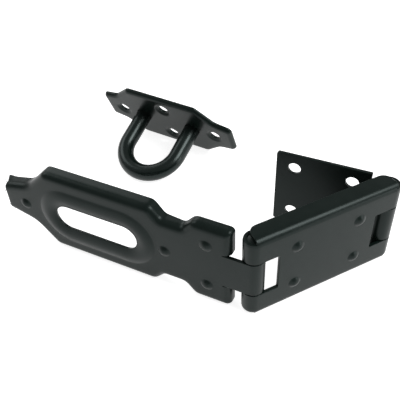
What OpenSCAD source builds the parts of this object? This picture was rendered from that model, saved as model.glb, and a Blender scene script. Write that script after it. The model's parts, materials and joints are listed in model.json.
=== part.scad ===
// Double-hinged hasp pressed from sheet steel, with its separate riveted staple.
// A flat fixing leaf, a channel-shaped link and a long slotted arm turn on two pins.
// The hasp stands on its long edges, half open, and the staple leans behind the arm.
// The origin is the centre of the leaf's four screw holes, on its mounting face.
// The leaf's mounting face looks along +Y, and both hinge pins are upright.

/* [Sheet steel and hinges] */
// Thickness of the pressed sheet
sheet_t = 1.6; // [1.4:0.1:1.8]
// Outer radius of the curled knuckles
knuckle_r = 4.8; // [4.6:0.1:5.2]
// Distance between the two hinge pins
pin_spacing = 66.5; // [62:0.5:80]
// Half height of the windows that the two tongues turn in
window_half = 9.7; // [7:0.1:11]
// Reach of each window from its pin towards the middle of the link
window_reach = 9.4; // [8.5:0.1:12]
// Radial play of the turning curls on their pins
pin_play = 0.05; // [0.02:0.01:0.1]

/* [Link] */
// Width of the link over its two flanges
link_w = 45; // [44.8:0.2:50]
// Outside radius of the bend between face and flange
link_bend_r = 2.7; // [2:0.1:3.5]
// How far the flanges run past the pin centres
flange_overrun = 1.3; // [0:0.1:1.5]
// Distance of the pressed pips from the pins, along the link
link_pip_x = 17.8; // [16:0.1:24]
// Distance of the pips from the middle line
link_pip_z = 11; // [6:0.1:14]

/* [Fixing leaf] */
// Length of the leaf from its pin to the free end
leaf_len = 51.3; // [46:0.1:54]
// Width of the leaf, which closes in between the flanges
leaf_w = 41; // [36:0.2:41.2]
// Where the full width starts, measured from the pin
leaf_start = 8; // [7.4:0.1:9]
// Radius of the four plain screw holes
leaf_hole_r = 3; // [2:0.1:3.4]
// Distance from the pin to the near pair of holes
leaf_hole_near = 16; // [14:0.1:18]
// Spacing of the holes along the leaf
leaf_hole_dx = 26.6; // [20:0.1:29]
// Spacing of the holes across the leaf
leaf_hole_dz = 26; // [18:0.1:30]

/* [Arm] */
// Width of the arm at the slot and at the hinge block
arm_w = 44.6; // [42:0.2:44.8]
// Length of the arm from its pin to the tip
arm_len = 125; // [120:0.5:130]
// Depth of the rolled edge behind the face
arm_rim_d = 6.9; // [5:0.1:7]
// Depth of the rolled edge at the hinge block
block_rim_d = 5.5; // [5:0.1:7]
// Outside radius of the rolled edge
arm_bend_r = 3.2; // [2.4:0.1:3.4]
// Where the hinge block starts, measured from the pin
block_start = 8.4; // [7.5:0.1:10]
// Half width of the waist between block and slot
waist_half = 16.8; // [14:0.1:19]
// Half width of the straight end at the tip
tip_half = 7.5; // [5:0.1:8]
// Middle of the slot, measured from the pin
slot_x = 74.2; // [70:0.5:78]
// Length of the slot
slot_len = 42.2; // [40:0.2:46]
// Height of the slot
slot_h = 13.2; // [10:0.2:15]
// Height of the rounded bead round the slot
bead_h = 1.2; // [0.5:0.1:1.6]
// Width of the bead
bead_w = 9; // [6:0.1:9.4]

/* [Staple] */
// Half length of the staple plate
plate_half_len = 40.6; // [37:0.1:42]
// Half width of the staple plate
plate_half_w = 19.9; // [18:0.1:20.4]
// Height of the plate's face above its mounting plane
plate_h = 2.6; // [2.3:0.1:2.8]
// Distance between the two screw holes near the plate's ends
end_hole_pcd = 59; // [54:0.2:62]
// Distance between the two screw holes beside the loop
side_hole_pcd = 22.2; // [20:0.2:24]
// Radius of the staple's screw holes
plate_hole_r = 2.9; // [2:0.1:3.2]
// Diameter of the round bar of the loop
bar_d = 8.9; // [7:0.1:9]
// Distance between the centres of the two legs
leg_dx = 31.2; // [26:0.2:32]
// Height of the bar's centre line at the top of the loop
loop_h = 33.2; // [26:0.5:38]

/* [How it stands] */
// Angle by which the link is swung open from the leaf
link_open = 51; // [0:0.1:120]
// Angle by which the arm is folded back from the link's line
arm_fold = 53.4; // [0:0.1:60]
// Place of the staple plate's centre, beside the leaf
staple_x = -96; // [-110:0.1:-90]
// Place of the staple plate's centre, behind the leaf's mounting face
staple_y = 32.9; // [28:0.1:45]
// Angle between the staple plate and the fixing leaf
staple_turn = -6.1; // [-10:0.1:10]

/* [Hidden] */
$fn = 48;
paint = "#33383a";
bore_r = knuckle_r - sheet_t;
press = 0.02;
pin_r = bore_r + press;
seam_angle = 32;
tongue_half = window_half - 0.5;
corner_gap = 0.2;
knuckle_half = link_w / 2 - sheet_t - corner_gap;
pin_half = knuckle_half - 0.5;
flange_d = 2 * knuckle_r - 0.2;
flange_corner_r = 4.6;
relief_r = 0.9;
shear_gap = 0.3;
leaf_corner_r = 1;
pip_foot_r = 3.3;
pip_h = 1.2;
pip_r = (pip_foot_r * pip_foot_r + pip_h * pip_h) / (2 * pip_h);
pip_wall = 0.9 * sheet_t;
cut = 20;
past = 1;
screw_x = leaf_hole_near + leaf_hole_dx / 2;

block_end = 25.7;
waist_x0 = 30.6;
waist_x1 = 40.6;
shoulder_x0 = 45.8;
shoulder_x1 = 99.8;
scoop_x = 110.5;
scoop_half = 11.2;
block_pip_x = 19.3;
block_pip_z = 12;
waist_pip_x = 39.4;
tip_pip_x = 113.3;

bar_r = bar_d / 2;
plate_bend_r = 2.2;
plate_tip_half = 9.2;
plate_scoop_x = 31.1;
plate_scoop_half = 11;
plate_shoulder_x = 21.2;
sink_r = 4.6;
sink_d = 1;
rivet_r = 5.6;
rivet_gap = 0.05;
rivet_taper = 0.5;

// Section of the slot's bead as [distance from the slot's middle line, depth]
bead_steps = 10;
bead_lap = 0.5;
bead_out = slot_h / 2 + bead_w;
bead_front = [for (i = [0 : bead_steps])
    let (t = i / bead_steps)
    [slot_h / 2 + bead_w * t, -4 * bead_h * t * (1 - t)]];

screw_places = [[-end_hole_pcd / 2, 0, 0], [end_hole_pcd / 2, 0, 0],
                [0, 0, side_hole_pcd / 2], [0, 0, -side_hole_pcd / 2]];

// The staple rests on the rolled lower edge of its plate and on the top of its loop
edge_reach = plate_half_w - plate_bend_r;
tip_reach = loop_h + plate_bend_r;
lean = acos((bar_r - plate_bend_r) / norm([edge_reach, tip_reach])) - atan2(tip_reach, edge_reach);
staple_z = -link_w / 2 + edge_reach * cos(lean) - plate_bend_r * sin(lean) + plate_bend_r;

// Half outlines as corners [along, across, rounding radius]. The first and last points
// only give the direction of the ends, which close onto their own mirror image.
arm_outline = [[block_start, -arm_w / 2, 0], [block_start, arm_w / 2, 3.3],
               [block_end, arm_w / 2, 5], [waist_x0, waist_half, 3.5],
               [waist_x1, waist_half, 3.5], [shoulder_x0, arm_w / 2, 4.5], [shoulder_x1, arm_w / 2, 5],
               [scoop_x, scoop_half, 12], [arm_len, tip_half, 3.3], [arm_len, -tip_half, 0]];
plate_outline = [[-plate_half_len, -plate_tip_half, 0], [-plate_half_len, plate_tip_half, 2.6],
                 [-plate_scoop_x, plate_scoop_half, 8], [-plate_shoulder_x, plate_half_w, 4],
                 [plate_shoulder_x, plate_half_w, 4], [plate_scoop_x, plate_scoop_half, 8],
                 [plate_half_len, plate_tip_half, 2.6], [plate_half_len, -plate_tip_half, 0]];
corner_steps = 6;
bend_steps = 5;

// Direction and inward normal of the outline between two of its points
function along(a, b) = let (v = [b[0] - a[0], b[1] - a[1]]) v / norm(v);
function inward(a, b) = let (u = along(a, b)) [u[1], -u[0]];

// One rounded corner of an outline that is moved inwards by d
function corner_arc(a, b, c, d) =
    let (n1 = inward(a, b), n2 = inward(b, c), u1 = along(a, b), u2 = along(b, c))
    let (side = u1[0] * u2[1] - u1[1] * u2[0] < 0 ? 1 : -1)
    let (centre = [b[0], b[1]] + side * b[2] * (n1 + n2) / (1 + n1 * n2))
    let (a1 = atan2(n1[1], n1[0]), a2 = atan2(n2[1], n2[0]))
    let (turn = a2 - a1 > 180 ? a2 - a1 - 360 : a2 - a1 < -180 ? a2 - a1 + 360 : a2 - a1)
    [for (i = [0 : corner_steps])
        let (w = a1 + turn * i / corner_steps)
        centre - side * (b[2] - side * d) * [cos(w), sin(w)]];

// The upper half of the outline, moved inwards by d
function half_ring(path, d) =
    [for (i = [1 : len(path) - 2]) each corner_arc(path[i - 1], path[i], path[i + 1], d)];

// Section of a rolled edge as [inset, depth]: down the outside, round the cut edge, back inside
function rolled_section(bend_r, depth) = concat(
    [for (i = [0 : bend_steps]) [bend_r * (1 - sin(90 * i / bend_steps)),
                                 bend_r * (1 - cos(90 * i / bend_steps))]],
    [[0, depth], [sheet_t, depth]],
    [for (i = [bend_steps : -1 : 0]) [bend_r - (bend_r - sheet_t) * sin(90 * i / bend_steps),
                                      bend_r - (bend_r - sheet_t) * cos(90 * i / bend_steps)]]);

// A pressed pan: a flat face in the XZ plane with its edges rolled back towards +Y
module pressed_pan(path, bend_r, depth) {
    section = rolled_section(bend_r, depth);
    rings = len(section);
    n = len(half_ring(path, 0));
    m = 2 * n;
    points = [for (s = section)
        let (top = half_ring(path, s[0]))
        each concat([for (p = top) [p[0], s[1], p[1]]],
                    [for (i = [n - 1 : -1 : 0]) [top[i][0], s[1], -top[i][1]]])];
    walls = [for (k = [0 : rings - 2], j = [0 : m - 1])
        let (j1 = (j + 1) % m)
        [k * m + j, (k + 1) * m + j, (k + 1) * m + j1, k * m + j1]];
    face = [for (j = [0 : n - 2]) [j, j + 1, m - 2 - j, m - 1 - j]];
    last = (rings - 1) * m;
    back = [for (j = [0 : n - 2]) [last + j, last + m - 1 - j, last + m - 2 - j, last + j + 1]];
    polyhedron(points, concat(walls, face, back));
}

// A sheet edge curled round an upright pin at the origin. It leaves a sheet that lies
// on the -Y side, passes the -X side and stops short of the back of the sheet.
module curl(inner_r, z0, z1) {
    rotate_extrude(angle = 270 + seam_angle, start = -seam_angle)
        translate([inner_r, z0])
            square([knuckle_r - inner_r, z1 - z0]);
}

// The tongue of a sheet and its curl, turning on the pin with play
module curled_tongue(reach) {
    turning_r = pin_r + pin_play;
    difference() {
        translate([0, -knuckle_r, -tongue_half])
            cube([reach, sheet_t, 2 * tongue_half]);
        cylinder(h = 2 * knuckle_half, r = turning_r, center = true);
    }
    curl(turning_r, -tongue_half, tongue_half);
}

// A pip pressed out of the front of a sheet: its dome, and the hollow behind it
module pip_dome() {
    intersection() {
        translate([0, pip_r - pip_h, 0])
            sphere(pip_r);
        translate([-cut / 2, sheet_t / 2 - cut, -cut / 2])
            cube(cut);
    }
}

module pip_hollow() {
    translate([0, pip_r - pip_h, 0])
        sphere(pip_r - pip_wall);
}

// Children are drawn with the front of the sheet at the front of the knuckle
module sheet_front() translate([0, -knuckle_r, 0]) children();

// Places of the three hinged pieces. Each is drawn with its own pin at the origin and
// its sheet along +X, and is turned to run along -X with its front still on -Y.
module at_fixing_pin() translate([screw_x, -knuckle_r, 0]) children();
module at_link() at_fixing_pin() rotate([0, 0, link_open]) children();
module at_arm_pin() at_link() translate([-pin_spacing, 0, 0]) children();
module at_arm() at_arm_pin() rotate([0, 0, -arm_fold]) children();
module turned() rotate([0, 180, 0]) children();
module at_staple()
    translate([staple_x, staple_y, staple_z])
        rotate([0, 0, staple_turn])
            rotate([lean, 0, 0])
                children();

// Flat leaf with square corners, four plain holes and a tongue curled round the fixing pin
module leaf_sheet() {
    difference() {
        union() {
            translate([0, knuckle_r, 0])
                rotate([90, 0, 0])
                    linear_extrude(sheet_t) {
                        translate([leaf_start, -leaf_w / 2])
                            square([leaf_len - leaf_start - leaf_corner_r, leaf_w]);
                        translate([leaf_start, leaf_corner_r - leaf_w / 2])
                            square([leaf_len - leaf_start, leaf_w - 2 * leaf_corner_r]);
                        for (s = [-1, 1])
                            translate([leaf_len - leaf_corner_r, s * (leaf_w / 2 - leaf_corner_r)])
                                circle(leaf_corner_r);
                    }
            mirror([0, 1, 0])
                curled_tongue(leaf_start + past);
        }
        for (x = [leaf_hole_near, leaf_hole_near + leaf_hole_dx], s = [-1, 1])
            translate([x, knuckle_r - sheet_t - past, s * leaf_hole_dz / 2])
                rotate([-90, 0, 0])
                    cylinder(h = sheet_t + 2 * past, r = leaf_hole_r);
        for (s = [-1, 1])
            translate([leaf_start, knuckle_r - sheet_t - past, s * (tongue_half + relief_r / 2)])
                rotate([-90, 0, 0])
                    cylinder(h = sheet_t + 2 * past, r = relief_r);
    }
}

// Section of the link: face and two flanges, with rounded bends
module channel_outline(inset) {
    half = link_w / 2 - inset;
    r = link_bend_r - inset;
    translate([inset + r, -half])
        square([flange_d - inset - r + (inset > 0 ? past : 0), 2 * half]);
    translate([inset, r - half])
        square([r, 2 * (half - r)]);
    for (s = [-1, 1])
        translate([inset + r, s * (half - r)])
            circle(r);
}

// Plan of the link, which rounds the free corners of both flanges
module link_plan() {
    x0 = -flange_overrun;
    x1 = pin_spacing + flange_overrun;
    r = flange_corner_r;
    y1 = flange_d - knuckle_r;
    translate([x0, -knuckle_r - past])
        square([x1 - x0, flange_d + past - r]);
    translate([x0 + r, -knuckle_r])
        square([x1 - x0 - 2 * r, flange_d]);
    for (x = [x0 + r, x1 - r])
        translate([x, y1 - r])
            circle(r);
}

// The half of the link round one pin: two outer knuckles beside the window
module link_knuckles() {
    for (z0 = [window_half, -knuckle_half])
        curl(bore_r, z0, z0 + knuckle_half - window_half);
}

module link_sheet() {
    pip_places = [for (x = [link_pip_x, pin_spacing - link_pip_x], s = [-1, 1])
                  [x, 0, s * link_pip_z]];
    difference() {
        union() {
            intersection() {
                translate([-cut, 0, 0])
                    sheet_front()
                        rotate([90, 0, 90])
                            linear_extrude(pin_spacing + 2 * cut)
                                difference() {
                                    channel_outline(0);
                                    channel_outline(sheet_t);
                                }
                translate([0, 0, -link_w])
                    linear_extrude(2 * link_w)
                        link_plan();
            }
            sheet_front()
                for (p = pip_places)
                    translate(p)
                        pip_dome();
        }
        sheet_front()
            for (p = pip_places)
                translate(p)
                    pip_hollow();
        for (x = [window_reach - cut, pin_spacing - window_reach])
            translate([x, -knuckle_r - past, -window_half])
                cube([cut, sheet_t + 2 * past, 2 * window_half]);
        for (x = [-cut, pin_spacing])
            translate([x, -knuckle_r - past, -knuckle_half - corner_gap])
                cube([cut, sheet_t + 2 * past, 2 * (knuckle_half + corner_gap)]);
    }
    link_knuckles();
    translate([pin_spacing, 0, 0])
        mirror([1, 0, 0])
            link_knuckles();
}

module bead_section() {
    front = concat(bead_front, [[bead_out + bead_lap, 0]]);
    polygon(concat(front, [for (i = [len(front) - 1 : -1 : 0]) front[i] + [0, sheet_t]]));
}

module slot_bead() {
    straight = slot_len - slot_h;
    translate([slot_x, 0, 0]) {
        for (s = [-1, 1])
            translate([s * straight / 2, 0, 0])
                rotate([-90, 0, 0])
                    rotate_extrude(angle = 180, start = 90 * (1 - s) - 90)
                        bead_section();
        for (a = [0, 180])
            rotate([0, a, 0])
                translate([-straight / 2, 0, 0])
                    rotate([90, 0, 90])
                        linear_extrude(straight)
                            mirror([1, -1])
                                bead_section();
    }
}

module stadium(half_h, depth) {
    straight = slot_len - slot_h;
    translate([slot_x, -depth / 2, 0])
        rotate([-90, 0, 0])
            linear_extrude(depth) {
                square([straight, 2 * half_h], center = true);
                for (s = [-1, 1])
                    translate([s * straight / 2, 0])
                        circle(half_h);
            }
}

// Long pressed arm: rolled edges, beaded slot, four pips and a tongue on the arm pin, which
// passes through a gap in the rolled edge
module arm_sheet() {
    pip_places = [[block_pip_x, 0, block_pip_z], [block_pip_x, 0, -block_pip_z],
                  [waist_pip_x, 0, 0], [tip_pip_x, 0, 0]];
    gap_half = tongue_half + shear_gap;
    rim_slope = (arm_rim_d - block_rim_d) / (shoulder_x0 - waist_x0);
    difference() {
        union() {
            sheet_front()
                difference() {
                    pressed_pan(arm_outline, arm_bend_r, arm_rim_d);
                    translate([block_start - past, -past, -gap_half])
                        cube([past + arm_bend_r + shear_gap, arm_rim_d + 2 * past, 2 * gap_half]);
                    linear_extrude(2 * arm_w, center = true)
                        polygon([[-cut, block_rim_d], [waist_x0, block_rim_d],
                                 [waist_x0 + (arm_rim_d + past - block_rim_d) / rim_slope, arm_rim_d + past],
                                 [-cut, arm_rim_d + past]]);
                }
            sheet_front()
                for (p = pip_places)
                    translate(p)
                        pip_dome();
            curled_tongue(block_start + arm_bend_r + past);
        }
        sheet_front() {
            stadium(bead_out + bead_lap / 2, cut);
            for (p = pip_places)
                translate(p)
                    pip_hollow();
        }
    }
    sheet_front()
        slot_bead();
}

module hinge_pin() {
    cylinder(h = 2 * pin_half, r = pin_r, center = true);
}

// Staple plate: a shallow pan with two leg holes and four sunk screw holes
module along_back() rotate([-90, 0, 0]) children();

module plate_sheet() {
    difference() {
        pressed_pan(plate_outline, plate_bend_r, plate_h);
        for (p = screw_places)
            translate(p)
                along_back() {
                    translate([0, 0, -past])
                        cylinder(h = plate_h + 2 * past, r = plate_hole_r);
                    translate([0, 0, -past])
                        cylinder(h = past + sink_d, r2 = plate_hole_r,
                                 r1 = sink_r + past * (sink_r - plate_hole_r) / sink_d);
                }
        for (s = [-1, 1])
            translate([s * leg_dx / 2, -past, 0])
                along_back()
                    cylinder(h = plate_h + 2 * past, r = bar_r - press);
    }
}

// Loop of round bar, with its legs riveted over behind the plate
module bar_loop() {
    bend_r = leg_dx / 2;
    head_h = plate_h - sheet_t - rivet_gap;
    translate([0, -(loop_h - bend_r), 0])
        rotate([0, 0, 180])
            rotate_extrude(angle = 180)
                translate([bend_r, 0])
                    circle(bar_r);
    for (s = [-1, 1])
        translate([s * bend_r, 0, 0]) {
            translate([0, bend_r - loop_h, 0])
                along_back()
                    cylinder(h = loop_h - bend_r + sheet_t + head_h / 2, r = bar_r);
            translate([0, sheet_t, 0])
                along_back()
                    cylinder(h = head_h, r1 = rivet_r, r2 = rivet_r - rivet_taper);
        }
}

module fixing_leaf() at_fixing_pin() turned() color(paint) leaf_sheet();
module link_plate() at_link() turned() color(paint) link_sheet();
module hasp_arm() at_arm() turned() color(paint) arm_sheet();
module fixing_hinge_pin() at_fixing_pin() color(paint) hinge_pin();
module arm_hinge_pin() at_arm_pin() color(paint) hinge_pin();
module staple_plate() at_staple() color(paint) plate_sheet();
module staple_loop() at_staple() color(paint) bar_loop();

fixing_leaf();
link_plate();
hasp_arm();
fixing_hinge_pin();
arm_hinge_pin();
staple_plate();
staple_loop();
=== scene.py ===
"""Looks of a double-hinged steel hasp and its staple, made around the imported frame."""

import json
import math

import bmesh
import bpy
import numpy as np
from mathutils import Matrix, Vector
from mathutils.geometry import delaunay_2d_cdt


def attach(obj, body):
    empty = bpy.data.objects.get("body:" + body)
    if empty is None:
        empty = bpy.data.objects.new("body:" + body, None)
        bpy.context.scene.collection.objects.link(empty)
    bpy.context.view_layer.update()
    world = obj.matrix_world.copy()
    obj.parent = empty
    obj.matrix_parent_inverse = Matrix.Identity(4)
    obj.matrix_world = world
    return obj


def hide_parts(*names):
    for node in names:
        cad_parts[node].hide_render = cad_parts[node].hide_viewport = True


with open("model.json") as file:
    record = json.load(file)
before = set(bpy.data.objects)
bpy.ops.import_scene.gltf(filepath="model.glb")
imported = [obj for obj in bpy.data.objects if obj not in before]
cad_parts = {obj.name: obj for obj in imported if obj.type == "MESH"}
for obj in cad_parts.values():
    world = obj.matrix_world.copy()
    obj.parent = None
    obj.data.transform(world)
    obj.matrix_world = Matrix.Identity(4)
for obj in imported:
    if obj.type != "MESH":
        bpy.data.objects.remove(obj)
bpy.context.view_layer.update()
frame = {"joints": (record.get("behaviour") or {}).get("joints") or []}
mm = 0.001  # Turns the hasp's sizes, which are in millimetres, into metres

# Camera
# The view looks down on the hasp from its front right, from about 30 cm away, through a
# normal lens. The camera is rolled a little clockwise.
azimuth, elevation, roll = math.radians(25.63), math.radians(42.34), math.radians(-2.56)
eye = Vector((41.3, -216.34, 194.32)) * mm
lens_mm, sensor_mm = 55.7, 36
clip_near, clip_far = 0.01, 10

gaze = Vector((-math.sin(azimuth) * math.cos(elevation),
               math.cos(azimuth) * math.cos(elevation), -math.sin(elevation)))
level = Vector((math.cos(azimuth), math.sin(azimuth), 0))
upward = level.cross(gaze)
camera = bpy.data.objects.new("camera", bpy.data.cameras.new("camera"))
camera.data.lens, camera.data.sensor_width = lens_mm, sensor_mm
camera.data.clip_start, camera.data.clip_end = clip_near, clip_far
camera.matrix_world = Matrix.Translation(eye) @ Matrix((
    level * math.cos(roll) + upward * math.sin(roll),
    upward * math.cos(roll) - level * math.sin(roll),
    -gaze)).transposed().to_4x4()
bpy.context.scene.collection.objects.link(camera)
bpy.context.scene.camera = camera


# Fixing leaf
# A flat leaf of 1.6 mm steel with square corners and four plain punched holes. Its tongue
# is curled round the fixing pin. Like the other pieces it is coated after it is pressed.
sheet_t, knuckle_r = 1.6, 4.8
edge_r, edge_steps, edge_angle, weld = 0.22, 3, math.radians(50), 0.1
tongue_half, seam_angle, curl_steps = 9.2, 32, 51
relief_r, relief_steps = 0.9, 12
leaf_start, leaf_len, leaf_half, leaf_corner_r = 8.0, 51.3, 20.5, 1.0
leaf_holes = [(x, z) for x in (16, 42.6) for z in (-13, 13)]
leaf_hole_r, hole_margin = 3.0, 0.6

fixing_pin, arm_pin = [Vector(joint["pos_m"]) for joint in frame["joints"] if "pos_m" in joint]
curl_angles = np.radians(np.linspace(270, -seam_angle, curl_steps))
tongue_zs = np.linspace(-tongue_half, tongue_half, 13)
tongue_edge = np.column_stack([np.zeros(len(tongue_zs)), tongue_zs])


def hinged_place(pin, angle, front=1):
    """Where a hinged sheet goes: drawn along +X from its pin, it is turned to run along -X."""
    return (Matrix.Translation(pin) @ Matrix.Rotation(angle, 4, "Z")
            @ Matrix.Rotation(math.pi, 4, "Y") @ Matrix.Diagonal((mm, front * mm, mm, 1)))


def arc(centre, radius, start, end, steps):
    """Points on an arc in the plane of the sheet, from one angle in degrees to another."""
    turn = np.radians(np.linspace(start, end, steps + 1))
    return np.column_stack([centre[0] + radius * np.cos(turn), centre[1] + radius * np.sin(turn)])


def ring(centre, radius, count=28):
    """A circle in the plane of the sheet."""
    return arc(centre, radius, 0, 360, count)[:-1]


def split(points, pitch):
    """A closed line with points added so that no two are further apart than about a pitch."""
    out = []
    for here, after in zip(points, np.roll(points, -1, axis=0)):
        steps = max(1, round(float(np.linalg.norm(after - here)) / pitch))
        out += [here + (after - here) * k / steps for k in range(steps)]
    return np.array(out)


def inside(points, loop):
    """Which of the points lie inside a closed line."""
    x, z = points[:, :1], points[:, 1:]
    ax, az = loop[:, 0], loop[:, 1]
    bx, bz = np.roll(ax, -1), np.roll(az, -1)
    rise = np.where(az == bz, 1e-9, bz - az)
    crosses = ((az > z) != (bz > z)) & (x < ax + (z - az) * (bx - ax) / rise)
    return crosses.sum(axis=1) % 2 == 1


class Skin:
    """The outer face of one pressing, as patches that are welded where their edges meet."""

    def __init__(self):
        self.points, self.faces = [], []

    def grid(self, rows):
        """A patch of rows of points."""
        rows = np.array(rows, float)
        high, wide = rows.shape[:2]
        first = len(self.points)
        self.points += list(rows.reshape(-1, 3))
        for r in range(high - 1):
            for c in range(wide - 1):
                a = first + r * wide + c
                self.faces.append((a, a + 1, a + wide + 1, a + wide))

    def flat(self, border, holes=(), rings=(), depth=None, pitch=2.0):
        """The flat of the sheet inside its border, pressed back by depth(x, z).

        Staggered rows of points a pitch apart fill it, where they are clear of its lines."""
        row_share, clear_share, epsilon = 0.866, 0.6, 1e-7
        loops = [np.array(loop, float) for loop in (border, *holes, *rings)]
        lines = np.vstack(loops)
        low, high = lines.min(axis=0), lines.max(axis=0)
        xs, zs = np.meshgrid(np.arange(low[0], high[0], pitch),
                             np.arange(low[1], high[1], pitch * row_share))
        xs[1::2] += pitch / 2
        spots = np.column_stack([xs.ravel(), zs.ravel()])
        spots = spots[inside(spots, loops[0])]
        gap = np.linalg.norm(spots[:, None] - lines[None], axis=2).min(axis=1)
        plan = np.vstack([lines, spots[gap > clear_share * pitch]])
        edges, first = [], 0
        for loop in loops:
            count = len(loop)
            edges += [(first + i, first + (i + 1) % count) for i in range(count)]
            first += count
        points, _, faces, *_ = delaunay_2d_cdt(
            [Vector(p) for p in plan], edges, [], 0, epsilon, False)
        points = np.array([tuple(p) for p in points])
        middles = np.array([points[list(f)].mean(axis=0) for f in faces])
        kept = inside(middles, loops[0])
        for hole in loops[1:1 + len(holes)]:
            kept &= ~inside(middles, hole)
        y = -knuckle_r + (depth(points[:, 0], points[:, 1]) if depth else np.zeros(len(points)))
        first = len(self.points)
        self.points += list(np.column_stack([points[:, 0], y, points[:, 1]]))
        self.faces += [tuple(first + i for i in f) for f, keep in zip(faces, kept) if keep]

    def curl(self, zs, x=0, way=1, drops=None):
        """The sheet's edge rolled round the pin at x, from the flat to its seam.

        drops says how far each of its lines lies under the face of the flat."""
        drops = np.zeros(len(zs)) if drops is None else drops
        self.grid([[(x + way * (knuckle_r - d) * math.cos(a), (knuckle_r - d) * math.sin(a), z)
                    for z, d in zip(zs, drops)] for a in curl_angles])

    def piece(self, name, place):
        """The pressing as an object, given its thickness and rounded sheared edges."""
        mesh = bpy.data.meshes.new(name)
        mesh.from_pydata([tuple(p) for p in self.points], [], self.faces)
        work = bmesh.new()
        work.from_mesh(mesh)
        bmesh.ops.remove_doubles(work, verts=work.verts, dist=weld)
        bmesh.ops.recalc_face_normals(work, faces=work.faces)
        # A large face in the plane of the sheet's front has to look forwards, along -Y
        front = min(work.faces, key=lambda f: abs(f.calc_center_median().y + knuckle_r)
                    - f.calc_area() * abs(f.normal.y))
        if front.normal.y > 0:
            bmesh.ops.reverse_faces(work, faces=work.faces)
        work.transform(place)
        if place.determinant() < 0:
            bmesh.ops.reverse_faces(work, faces=work.faces)
        work.to_mesh(mesh)
        work.free()
        mesh.shade_smooth()
        made = bpy.data.objects.new(name, mesh)
        bpy.context.scene.collection.objects.link(made)
        wall = made.modifiers.new("thickness", "SOLIDIFY")
        wall.thickness, wall.offset = sheet_t * mm, -1
        wall.use_quality_normals = True
        soften = made.modifiers.new("sheared edges", "BEVEL")
        soften.width, soften.segments, soften.limit_method = edge_r * mm, edge_steps, "ANGLE"
        soften.angle_limit, soften.use_clamp_overlap = edge_angle, False
        soften.harden_normals = True
        return made


class Signal:
    """A node's output. Python's signs between signals and numbers add Math nodes."""

    def __init__(self, graph, socket):
        self.graph, self.socket = graph, socket

    def _math(self, operation, first, second=0.0):
        return self.graph.node("ShaderNodeMath", {"operation": operation}, {0: first, 1: second})

    def __add__(self, other):
        return self._math("ADD", self, other)

    def __sub__(self, other):
        return self._math("SUBTRACT", self, other)

    def __mul__(self, other):
        return self._math("MULTIPLY", self, other)

    def __truediv__(self, other):
        return self._math("DIVIDE", self, other)

    __radd__, __rmul__ = __add__, __mul__


class Graph:
    """A node tree that is written as Python expressions."""

    def __init__(self, tree):
        self.tree = tree
        tree.nodes.clear()

    def node(self, kind, settings=None, inputs=None, output=0):
        """Adds a node and returns one of its outputs.

        Each input takes a value, a signal or a list of the signals that join there."""
        made = self.tree.nodes.new(kind)
        for name, value in (settings or {}).items():
            if name == "stops":
                for element, (place, grey) in zip(list(made.color_ramp.elements), value):
                    element.position, element.color = place, (grey, grey, grey, 1)
            else:
                setattr(made, name, value)
        for name, value in (inputs or {}).items():
            signals = value if isinstance(value, list) else [value]
            for signal in signals:
                if isinstance(signal, Signal):
                    self.tree.links.new(signal.socket, made.inputs[name])
                else:
                    made.inputs[name].default_value = signal
        return Signal(self, made.outputs[output]) if made.outputs else None


def powder_coat(name, deep, thin, satin, ior, seed):
    """Satin black coating: a faint orange peel over the slow waves of the pressed sheet.

    deep and thin are its colours where it lies thick and thin, and satin is its roughness.
    The rises are in metres."""
    peel_rise, wave_rise, speck_rise, mottle_satin = 9e-6, 3e-5, 1.2e-6, 0.08
    cool_tint = (0.86, 1, 0.98, 1)
    material = bpy.data.materials.new(name)
    material.use_nodes = True
    g = Graph(material.node_tree)
    place = g.node("ShaderNodeTexCoord", output="Object")

    def noise(scale, detail=2.0):
        return g.node("ShaderNodeTexNoise", {"noise_dimensions": "4D"},
                      {"Vector": place, "W": seed, "Scale": scale, "Detail": detail})

    peel, waves, mottle, specks = noise(1100), noise(55, 1.0), noise(160, 4.0), noise(3200, 1.0)
    tone = g.node("ShaderNodeValToRGB", {"stops": [(0.3, 0.0), (0.75, 1.0)]}, {"Fac": mottle})
    colour = g.node("ShaderNodeMix", {"data_type": "RGBA"},
                    {"Factor": tone, 6: (*deep, 1), 7: (*thin, 1)}, output=2)
    height = peel * peel_rise + waves * wave_rise + specks * speck_rise
    bump = g.node("ShaderNodeBump", inputs={"Strength": 1.0, "Distance": 1.0, "Height": height})
    finish = g.node("ShaderNodeBsdfPrincipled", inputs={
        "Base Color": colour, "Roughness": satin + mottle * mottle_satin, "IOR": ior,
        "Specular Tint": cool_tint, "Normal": bump})
    g.node("ShaderNodeOutputMaterial", inputs={"Surface": finish})
    return material


def finish_piece(made, material, body, slot, *nodes):
    """Coats a finished piece and sets it on its body, in place of its plain CAD nodes."""
    made.data.materials.clear()
    made.data.materials.append(material)
    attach(made, body)
    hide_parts(*nodes)


sheet_coat = powder_coat("sheet coat", deep=(0.0035, 0.008, 0.0065),
                         thin=(0.0065, 0.012, 0.010), satin=0.27, ior=1.32, seed=1.7)
# The notches are centred half their radius outside the tongue, so they end on its edges
notch_z = tongue_half + relief_r / 2
corner_x, corner_z = leaf_len - leaf_corner_r, leaf_half - leaf_corner_r
leaf_border = np.vstack([
    [(leaf_start, -leaf_half)],
    arc((leaf_start, -notch_z), relief_r, -90, 150, relief_steps),
    tongue_edge,
    arc((leaf_start, notch_z), relief_r, 210, 450, relief_steps),
    [(leaf_start, leaf_half)],
    arc((corner_x, corner_z), leaf_corner_r, 90, 0, 2),
    arc((corner_x, -corner_z), leaf_corner_r, 0, -90, 2)])[::-1]
leaf_skin = Skin()
leaf_skin.flat(split(leaf_border, pitch=1.5),
               holes=[ring(c, leaf_hole_r) for c in leaf_holes],
               rings=[ring(c, leaf_hole_r + hole_margin) for c in leaf_holes], pitch=3.0)
leaf_skin.curl(tongue_zs)
leaf = leaf_skin.piece("fixing_leaf_sheet", hinged_place(fixing_pin, 0, front=-1))
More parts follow.
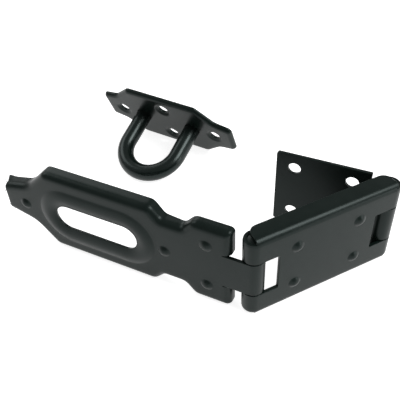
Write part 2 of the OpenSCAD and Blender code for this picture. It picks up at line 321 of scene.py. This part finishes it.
finish_piece(leaf, sheet_coat, "leaf", "coated_sheet", "fixing_leaf")


# Hinge pins
# Two lengths of round steel rod, pressed into the outer knuckles of the link. Their ends
# stop just below the knuckles, and the coating runs into the small step.
pin_r, pin_half, pin_chamfer, pin_sides = 3.2, 20.2, 0.5, 48
rod_weld = 0.0001


def geometry_tree(name, sizes):
    """A Geometry Nodes tree with named inputs for its sizes, in millimetres."""
    tree = bpy.data.node_groups.new(name, "GeometryNodeTree")
    tree.interface.new_socket("Geometry", in_out="INPUT", socket_type="NodeSocketGeometry")
    tree.interface.new_socket("Geometry", in_out="OUTPUT", socket_type="NodeSocketGeometry")
    for size in sizes:
        tree.interface.new_socket(size, in_out="INPUT", socket_type="NodeSocketFloat")
    graph = Graph(tree)
    return graph, {size: graph.node("NodeGroupInput", output=size) for size in sizes}


def close_tree(graph, geometry, material):
    """Ends a tree with real geometry in one material."""
    real = graph.node("GeometryNodeRealizeInstances", inputs={0: geometry})
    smooth = graph.node("GeometryNodeSetShadeSmooth", inputs={0: real})
    coated = graph.node("GeometryNodeSetMaterial", inputs={0: smooth, "Material": material})
    graph.node("NodeGroupOutput", inputs={0: coated})


def grown(name, tree, sizes, place):
    """The plain mesh that a tree makes with these sizes, laid in place."""
    seed = bpy.data.objects.new(name + "_seed", bpy.data.meshes.new(name + "_seed"))
    bpy.context.scene.collection.objects.link(seed)
    modifier = seed.modifiers.new("build", "NODES")
    modifier.node_group = tree
    for item in tree.interface.items_tree:
        if item.in_out == "INPUT" and item.name in sizes:
            modifier[item.identifier] = float(sizes[item.name])
    evaluated = seed.evaluated_get(bpy.context.evaluated_depsgraph_get())
    mesh = bpy.data.meshes.new_from_object(evaluated)
    seed.modifiers.remove(modifier)
    bpy.data.objects.remove(seed)
    mesh.name = name
    mesh.transform(place)
    work = bmesh.new()
    work.from_mesh(mesh)
    bmesh.ops.remove_doubles(work, verts=work.verts, dist=rod_weld * mm)
    bmesh.ops.recalc_face_normals(work, faces=work.faces)
    work.to_mesh(mesh)
    work.free()
    made = bpy.data.objects.new(name, mesh)
    bpy.context.scene.collection.objects.link(made)
    return made


pin_coat = powder_coat("pin coat", deep=(0.003, 0.007, 0.0055),
                       thin=(0.006, 0.011, 0.009), satin=0.35, ior=1.32, seed=4.2)
g, size = geometry_tree("rod with chamfered ends", ["Radius", "Half length", "Chamfer"])
straight = size["Half length"] - size["Chamfer"]
column = g.node("GeometryNodeMeshCylinder", {"fill_type": "NGON"}, {
    "Vertices": pin_sides, "Radius": size["Radius"], "Depth": 2 * straight})
cap = g.node("GeometryNodeMeshCone", {"fill_type": "NGON"}, {
    "Vertices": pin_sides, "Radius Bottom": size["Radius"],
    "Radius Top": size["Radius"] - size["Chamfer"], "Depth": size["Chamfer"]})
lift = g.node("ShaderNodeCombineXYZ", inputs={"Z": straight})
upper_cap = g.node("GeometryNodeTransform", inputs={0: cap, "Translation": lift})
lower_cap = g.node("GeometryNodeTransform", inputs={0: upper_cap, "Rotation": (math.pi, 0, 0)})
joined = g.node("GeometryNodeJoinGeometry", inputs={0: [lower_cap, upper_cap, column]})
close_tree(g, joined, pin_coat)
for name, spot in (("fixing_hinge_pin", fixing_pin), ("arm_hinge_pin", arm_pin)):
    rod = grown(name + "_rod", g.tree,
                {"Radius": pin_r, "Half length": pin_half, "Chamfer": pin_chamfer},
                Matrix.Translation(spot) @ Matrix.Scale(mm, 4))
    finish_piece(rod, pin_coat, "link", "coated_pin", name)


# Link
# A channel of the same sheet. Both ends of its face are cut out for the tongues and rolled
# into two knuckles each, and its flanges run on past the pins with rounded corners.
link_half, link_bend_r, flange_d, flange_overrun, flange_corner_r = 22.5, 3.2, 9.4, 1.3, 4.2
window_half, window_reach, window_corner_r = 9.7, 9.4, 0.6
knuckle_gap = 0.2
link_pip_x, link_pip_z, pip_r, pip_h, pip_ease = 17.8, 11, 3.0, 1.35, 1.2
pip_radii = (0.5, 0.9, 1.3, 1.7, 2.1, 2.45, 2.75, 3.0, 3.3)
knuckle_half = link_half - sheet_t - knuckle_gap
pin_spacing = (arm_pin - fixing_pin).length / mm
link_pips = [(x, z) for x in (link_pip_x, pin_spacing - link_pip_x)
             for z in (-link_pip_z, link_pip_z)]
link_angle = math.atan2(fixing_pin.y - arm_pin.y, fixing_pin.x - arm_pin.x)


def pip(x, z, centre):
    """Depth over a round pip that a punch has pushed out of the face, with a soft foot."""
    share = np.clip(1 - ((x - centre[0]) ** 2 + (z - centre[1]) ** 2) / pip_r ** 2, 0, 1)
    return -pip_h * share ** pip_ease


def pip_rings(centres):
    """Circles on the pips that give their meshes an even slope."""
    return [ring(c, r, 24) for c in centres for r in pip_radii]


face_half = link_half - link_bend_r
# Places of the rows across the link, which are closer together by the pins
end_xs = [0, 0.5, 1.0, 1.6, 2.3, 3.0]
middle_xs = list(np.linspace(4.2, pin_spacing - 4.2, 40))
face_xs = np.array(end_xs + middle_xs + [pin_spacing - x for x in reversed(end_xs)])
over_xs = -flange_overrun * np.array([1, 0.78, 0.46, 0.18])
all_xs = np.concatenate([over_xs, face_xs, pin_spacing - over_xs[::-1]])

# Angles round the bend of the part that the knuckles share, and of the part past their slits
shared = knuckle_half - face_half
slit_angles = np.arcsin(np.array([0, 0.35, shared]) / link_bend_r)
flange_angles = np.concatenate([[math.asin((shared + knuckle_gap) / link_bend_r)],
                                np.radians([35, 50, 65, 78, 90])])


def bend_point(x, angle, side):
    """A point on the bend between face and flange, at an angle from the face."""
    return (x, -knuckle_r + link_bend_r * (1 - math.cos(angle)),
            side * (face_half + link_bend_r * math.sin(angle)))


def flange_tip(x):
    """Depth of the flange at x, less near its rounded free corners."""
    reach = flange_corner_r - (min(x, pin_spacing - x) + flange_overrun)
    if reach <= 0:
        return flange_d
    return flange_d - flange_corner_r + math.sqrt(max(0.0, flange_corner_r ** 2 - reach ** 2))


knuckle_zs = np.linspace(window_half, face_half, 8)
corner = arc((window_reach - window_corner_r, window_half - window_corner_r),
             window_corner_r, 90, 0, 3)
window = np.vstack([corner, (corner * (1, -1))[::-1]])
near_end = np.vstack([[(0, z) for z in -knuckle_zs[::-1]], window[::-1],
                      [(0, z) for z in knuckle_zs]])
far_end = (near_end * (-1, 1) + (pin_spacing, 0))[::-1]
link_border = np.vstack([
    near_end, [(x, face_half) for x in face_xs[1:-1]],
    far_end, [(x, -face_half) for x in face_xs[-2:0:-1]]])
link_skin = Skin()
link_skin.flat(split(link_border[::-1], pitch=2.0), rings=pip_rings(link_pips),
               depth=lambda x, z: sum(pip(x, z, c) for c in link_pips))
for side in (-1, 1):
    link_skin.grid([[bend_point(x, a, side) for x in face_xs] for a in slit_angles])
    link_skin.grid([[bend_point(x, a, side) for x in face_xs]
                    for a in (slit_angles[-1], flange_angles[0])])
    link_skin.grid([[bend_point(x, a, side) for x in all_xs] for a in flange_angles])
    link_skin.grid([[(x, -knuckle_r + link_bend_r + share * (flange_tip(x) - link_bend_r),
                      side * link_half) for x in all_xs] for share in (0, 0.3, 0.6, 0.85, 1)])
    zs = np.concatenate([knuckle_zs, face_half + link_bend_r * np.sin(slit_angles[1:])])
    drops = np.concatenate([np.zeros(len(knuckle_zs)),
                            link_bend_r * (1 - np.cos(slit_angles[1:]))])
    link_skin.curl(side * zs, drops=drops)
    link_skin.curl(side * zs, x=pin_spacing, way=-1, drops=drops)
link = link_skin.piece("link_plate_sheet", hinged_place(fixing_pin, link_angle))
finish_piece(link, sheet_coat, "link", "coated_sheet", "link_plate")


# Arm
# The long steel pressing that closes over the staple, with edges rolled back all round and a
# rounded bead to stiffen the slot. Its tongue leaves the hinge block through a gap in the
# rolled edge and is curled round the pin.
arm_half, arm_len, arm_bend_r, tip_bend_r = 22.3, 125, 3.2, 1.8
rim_xs, rim_depths, least_r = (30.6, 45.8), (5.5, 6.9), 0.3
ear_out, ear_up, ear_w = 1.8, 0.9, 4.0
block_start, gap_half, gap_past = 8.4, 9.5, 0.3
arm_corners = [(block_start, gap_half, 0), (block_start, arm_half, 1.7), (25.7, arm_half, 5),
               (30.6, 16.8, 3.5), (40.6, 16.8, 3.5), (45.8, arm_half, 4.5), (99.8, arm_half, 5),
               (110.5, 11.2, 12), (arm_len, 7.5, 1.7)]
arm_pips = [(19.3, -12), (19.3, 12), (39.4, 0), (113.3, 0)]
slot_x, slot_len, slot_h = 74.2, 42.2, 13.2
slot_half = (slot_len - slot_h) / 2
bead_h, bead_w, bead_foot = 1.2, 9.0, 0.12
rim_pitch, corner_steps, bend_rows = 1.6, 8, 9
arm_angle = math.radians(-2.4)


def toward(a, b):
    """The direction from one corner of an outline to another."""
    step = np.subtract(b[:2], a[:2])
    return step / np.linalg.norm(step)


def rolled_ring(upper, inset, end_inset, least, closed):
    """An outline of (along, across, radius) corners and its mirror image, moved inwards.

    Its last edge, across the end, moves by end_inset, and least is the smallest radius that
    leaves room for the sheet inside a corner."""
    corners = upper + [(x, -z, r) for x, z, r in reversed(upper)]
    moves = [end_inset if i == len(upper) - 1 else inset for i in range(len(corners))]
    stations = []
    for i, (x, z, radius) in enumerate(corners):
        before, after = corners[i - 1], corners[(i + 1) % len(corners)]
        if not closed and i in (0, len(corners) - 1):
            way = toward(corners[i], after) if i == 0 else toward(before, corners[i])
            stations.append(np.array([(x, z) + inset * np.array([way[1], -way[0]])]))
            continue
        into, out = toward(before, corners[i]), toward(corners[i], after)
        n1, n2 = np.array([into[1], -into[0]]), np.array([out[1], -out[0]])
        side = 1 if into[0] * out[1] - into[1] * out[0] < 0 else -1
        turned = max(radius - inset, least) if side > 0 else radius + inset
        d1, d2 = side * turned + moves[i - 1], side * turned + moves[i]
        flat = n1 @ n2
        centre = (x, z) + ((d1 - flat * d2) * n1 + (d2 - flat * d1) * n2) / (1 - flat ** 2)
        start, end = math.atan2(n1[1], n1[0]), math.atan2(n2[1], n2[0])
        end = start + (end - start + math.pi) % (2 * math.pi) - math.pi
        angles = np.linspace(start, end, corner_steps + 1)
        spokes = np.column_stack([np.cos(angles), np.sin(angles)])
        stations.append(centre - side * turned * spokes)
    points = []
    for i, station in enumerate(stations):
        points += list(station)
        if closed or i < len(stations) - 1:
            after = stations[(i + 1) % len(stations)]
            span = math.dist(corners[i][:2], corners[(i + 1) % len(corners)][:2])
            steps = max(1, round(span / rim_pitch))
            points += [station[-1] + (after[0] - station[-1]) * k / steps
                       for k in range(1, steps)]
    return np.array(points)


def rolled_edge(skin, upper, bend_r, end_bend_r, rim, closed):
    """Adds the rolled edge of a pressed pan and returns the line where its flat begins.

    rim(x, z) is where the free edge stands above a place on the outline: along, depth, across."""
    # A deep wall past the bend gets rows of its own
    deep_rim = rim(*upper[1][:2])[1] > bend_r + 1
    stages = [(90, share) for share in ((1, 0.6, 0.25) if deep_rim else (1,))]
    stages += [(angle, 0) for angle in np.linspace(90, 0, bend_rows)]
    rows = []
    for angle, share in stages:
        sine, y = math.sin(math.radians(angle)), bend_r * (1 - math.cos(math.radians(angle)))
        end_inset = end_bend_r - math.sqrt(end_bend_r ** 2 - max(0.0, end_bend_r - y) ** 2)
        least = sheet_t * sine + least_r
        line = rolled_ring(upper, bend_r * (1 - sine), end_inset, least, closed)
        if closed:
            line = np.vstack([line, line[:1]])
        rows.append([np.add((x, y - knuckle_r, z), share * np.subtract(rim(x, z), (x, bend_r, z)))
                     for x, z in line])
    skin.grid(rows)
    return rolled_ring(upper, bend_r, end_bend_r, least_r, closed)


def arm_edge(x, z):
    """Free edge of the rim. Where the press draws the tip's corners, it flares out to ears."""
    ear = max(0.0, 1 - (arm_len - x) / ear_w) ** 2
    return (x + ear_out * ear, np.interp(x, rim_xs, rim_depths),
            z + math.copysign(ear_up * ear, z))


def stadium(from_line, count=22):
    """A closed line at one distance from the slot's middle line."""
    right = arc((slot_x + slot_half, 0), from_line, -90, 90, count)
    left = arc((slot_x - slot_half, 0), from_line, 90, 270, count)
    return split(np.vstack([right, left]), rim_pitch)


def arm_depth(x, z):
    """Depth over the bead, an arch in section with a soft outer foot, and over the pips."""
    from_line = np.hypot(np.maximum(abs(x - slot_x) - slot_half, 0), z)
    share = (from_line - slot_h / 2) / bead_w
    arch = 4 * bead_h * share * (1 - share)
    return sum(pip(x, z, c) for c in arm_pips) - (arch + np.hypot(arch, bead_foot)) / 2


arm_skin = Skin()
flat_edge = rolled_edge(arm_skin, arm_corners, arm_bend_r, tip_bend_r, arm_edge, closed=False)
slit = [(block_start + arm_bend_r + gap_past, z) for z in (gap_half, tongue_half)]
arm_border = np.vstack([flat_edge, np.multiply(slit, (1, -1)), tongue_edge, slit[::-1]])
bead_lines = slot_h / 2 + np.append(np.linspace(0.4, bead_w - 0.8, 12),
                                    [bead_w - 0.4, bead_w, bead_w + 0.4])
arm_skin.flat(arm_border, holes=[stadium(slot_h / 2)],
              rings=[stadium(r) for r in bead_lines] + pip_rings(arm_pips), depth=arm_depth)
arm_skin.curl(tongue_zs)
arm = arm_skin.piece("hasp_arm_sheet", hinged_place(arm_pin, arm_angle))
finish_piece(arm, sheet_coat, "arm", "coated_sheet", "hasp_arm")


# Staple plate
# A shallow pressed pan with a rolled rim. The sheet is dished round its four screw holes for
# the screws' heads, and the two legs of the loop pass through its face.
plate_corners = [(-40.6, 9.2, 2.6), (-31.1, 11, 8), (-21.2, 19.9, 4),
                 (21.2, 19.9, 4), (31.1, 11, 8), (40.6, 9.2, 2.6)]
plate_bend_r, plate_rim_d = 2.2, 2.6
dish_d, dish_r, plate_hole_r, hole_steps = 0.8, 5.0, 2.9, 32
dish_radii = (3.15, 3.45, 3.8, 4.15, 4.5, 4.8, 5.1)
plate_screws = [(-29.5, 0), (29.5, 0), (0, 11.1), (0, -11.1)]
leg_dx, bar_r, leg_play, leg_margin = 31.2, 4.45, 0.05, 0.7
staple_centre = Vector((-96, 32.9, -4.915)) * mm
staple_lean, staple_turn = math.radians(23.306), math.radians(-6.1)
staple_place = (Matrix.Translation(staple_centre) @ Matrix.Rotation(staple_turn, 4, "Z")
                @ Matrix.Rotation(staple_lean, 4, "X") @ Matrix.Scale(mm, 4))


def plate_depth(x, z):
    """Depth of the dishes, which are level again where they meet their holes."""
    total = np.zeros(len(x))
    for cx, cz in plate_screws:
        share = (dish_r - np.hypot(x - cx, z - cz)) / (dish_r - plate_hole_r)
        share = np.clip(share, 0, 1)
        total += dish_d * share ** 2 * (3 - 2 * share)
    return total


plate_skin = Skin()
flat_edge = rolled_edge(plate_skin, plate_corners, plate_bend_r, plate_bend_r,
                        lambda x, z: (x, plate_rim_d, z), closed=True)
legs = [(-leg_dx / 2, 0), (leg_dx / 2, 0)]
plate_holes = ([ring(c, plate_hole_r, hole_steps) for c in plate_screws]
               + [ring(c, bar_r + leg_play, hole_steps) for c in legs])
plate_rings = ([ring(c, r, hole_steps) for c in plate_screws for r in dish_radii]
               + [ring(c, bar_r + leg_margin, hole_steps) for c in legs])
plate_skin.flat(flat_edge, holes=plate_holes, rings=plate_rings, depth=plate_depth)
plate = plate_skin.piece("staple_plate_sheet",
                         staple_place @ Matrix.Translation((0, knuckle_r, 0)))
finish_piece(plate, sheet_coat, "staple", "coated_sheet", "staple_plate")


# Staple loop
# A round bar bent to a U. Its two legs go through the plate and are riveted over behind it.
loop_h, rivet_r, rivet_taper, rivet_h = 33.2, 5.6, 0.5, 0.95
bar_sides, path_steps = 40, 96
quarter = math.pi / 2
bar_coat = powder_coat("bar coat", deep=(0.0035, 0.0075, 0.006),
                       thin=(0.0065, 0.0115, 0.010), satin=0.22, ior=1.42, seed=8.9)
g, size = geometry_tree("bar bent to a U",
                        ["Bar radius", "Leg spacing", "Height", "Through", "Rivet radius",
                         "Rivet taper", "Rivet height"])
bend = size["Leg spacing"] / 2
leg = size["Height"] - bend
half_path = bend * quarter + leg + size["Through"]
line = g.node("GeometryNodeMeshLine", inputs={"Count": path_steps + 1})
along = (g.node("GeometryNodeInputIndex") / (path_steps / 2) - 1) * half_path
distance = g.node("ShaderNodeMath", {"operation": "ABSOLUTE"}, {0: along})
past_bend = g.node("ShaderNodeMath", {"operation": "MAXIMUM"},
                   {0: distance - bend * quarter, 1: 0.0})
turn = g.node("ShaderNodeClamp",
              inputs={"Value": along / bend, "Min": -quarter, "Max": quarter})
sine = g.node("ShaderNodeMath", {"operation": "SINE"}, {0: turn})
cosine = g.node("ShaderNodeMath", {"operation": "COSINE"}, {0: turn})
spot = g.node("ShaderNodeCombineXYZ",
              inputs={"X": bend * sine, "Y": past_bend - leg - bend * cosine})
bent = g.node("GeometryNodeSetPosition", inputs={"Geometry": line, "Position": spot})
path = g.node("GeometryNodeMeshToCurve", inputs={0: bent})
section = g.node("GeometryNodeCurvePrimitiveCircle",
                 inputs={"Resolution": bar_sides, "Radius": size["Bar radius"]})
bar = g.node("GeometryNodeCurveToMesh", inputs={"Curve": path, "Profile Curve": section,
                                                "Fill Caps": True})
cone = g.node("GeometryNodeMeshCone", {"fill_type": "NGON"}, {
    "Vertices": bar_sides, "Radius Bottom": size["Rivet radius"],
    "Radius Top": size["Rivet radius"] - size["Rivet taper"], "Depth": size["Rivet height"]})
head = g.node("GeometryNodeTransform", inputs={0: cone, "Rotation": (-quarter, 0, 0)})
left_end = g.node("ShaderNodeCombineXYZ", inputs={"X": -1 * bend, "Y": size["Through"]})
right_end = g.node("ShaderNodeCombineXYZ", inputs={"X": bend, "Y": size["Through"]})
leg_ends = g.node("GeometryNodeMeshLine", {"mode": "END_POINTS"},
                  {"Count": 2, "Start Location": left_end, "Offset": right_end})
heads = g.node("GeometryNodeInstanceOnPoints", inputs={"Points": leg_ends, "Instance": head})
joined = g.node("GeometryNodeJoinGeometry", inputs={0: [heads, bar]})
close_tree(g, joined, bar_coat)
loop = grown("staple_loop_bar", g.tree, {
    "Bar radius": bar_r, "Leg spacing": leg_dx, "Height": loop_h, "Through": sheet_t,
    "Rivet radius": rivet_r, "Rivet taper": rivet_taper, "Rivet height": rivet_h}, staple_place)
finish_piece(loop, bar_coat, "staple", "coated_bar", "staple_loop")


# Floor and light
# A white table with square soft lamps round it: a strong one high on the right, and weaker
# ones low on the right, behind and on the left.
# The hasp stands on the link's lower flange. The floor reaches four metres each way
floor_z, floor_reach = -link_half * mm, 4
floor_mesh = bpy.data.meshes.new("floor")
floor_mesh.from_pydata([(x * floor_reach, y * floor_reach, floor_z)
                        for x, y in ((-1, -1), (1, -1), (1, 1), (-1, 1))], [], [(0, 1, 2, 3)])
floor = bpy.data.objects.new("floor", floor_mesh)
bpy.context.scene.collection.objects.link(floor)


def seen(g, by_camera, by_gloss, by_matt):
    """How strongly a surface that shows as background glows for each kind of ray."""
    camera_ray, gloss_ray, clear_ray, matt_ray = [
        g.node("ShaderNodeLightPath", output=f"Is {kind} Ray")
        for kind in ("Camera", "Glossy", "Transmission", "Diffuse")]
    return camera_ray * by_camera + (gloss_ray + clear_ray) * by_gloss + matt_ray * by_matt


white = bpy.data.materials.new("white table")
white.use_nodes = True
g = Graph(white.node_tree)
paper = g.node("ShaderNodeBsdfDiffuse", inputs={"Color": (0.8, 0.8, 0.8, 1)})
glow = g.node("ShaderNodeEmission", inputs={
    "Strength": seen(g, by_camera=0.86, by_gloss=0.68, by_matt=0.0)})
g.node("ShaderNodeOutputMaterial", inputs={
    "Surface": g.node("ShaderNodeAddShader", inputs={0: paper, 1: glow})})
floor.data.materials.append(white)

sky = bpy.data.worlds.new("sky")
sky.use_nodes = True
bpy.context.scene.world = sky
g = Graph(sky.node_tree)
backdrop = g.node("ShaderNodeBackground", inputs={
    "Color": (1, 1, 1, 1), "Strength": seen(g, by_camera=1.0, by_gloss=0.34, by_matt=0.15)})
g.node("ShaderNodeOutputWorld", inputs={"Surface": backdrop})

# Each lamp's bearing from the front and height in degrees, its side in metres, and its watts
lamp_reach, middle = 1.2, Vector((-0.04, 0, 0))
for name, bearing, height, side, watts in (
        ("right lamp", 90, 52, 0.6, 8.6), ("low right lamp", 90, 8, 0.4, 1.6),
        ("low back lamp", 163, 8, 0.4, 4.2), ("back left lamp", -135, 30, 0.6, 1.9),
        ("left lamp", -90, 38, 0.6, 2.4)):
    lamp = bpy.data.objects.new(name, bpy.data.lights.new(name, "AREA"))
    lamp.data.shape, lamp.data.size, lamp.data.energy = "SQUARE", side, watts
    a, e = math.radians(bearing), math.radians(height)
    lamp.location = middle + lamp_reach * Vector(
        (math.cos(e) * math.sin(a), -math.cos(e) * math.cos(a), math.sin(e)))
    lamp.rotation_euler = (middle - lamp.location).to_track_quat("-Z", "Y").to_euler()
    bpy.context.scene.collection.objects.link(lamp)

bpy.context.scene.view_settings.view_transform = "Standard"
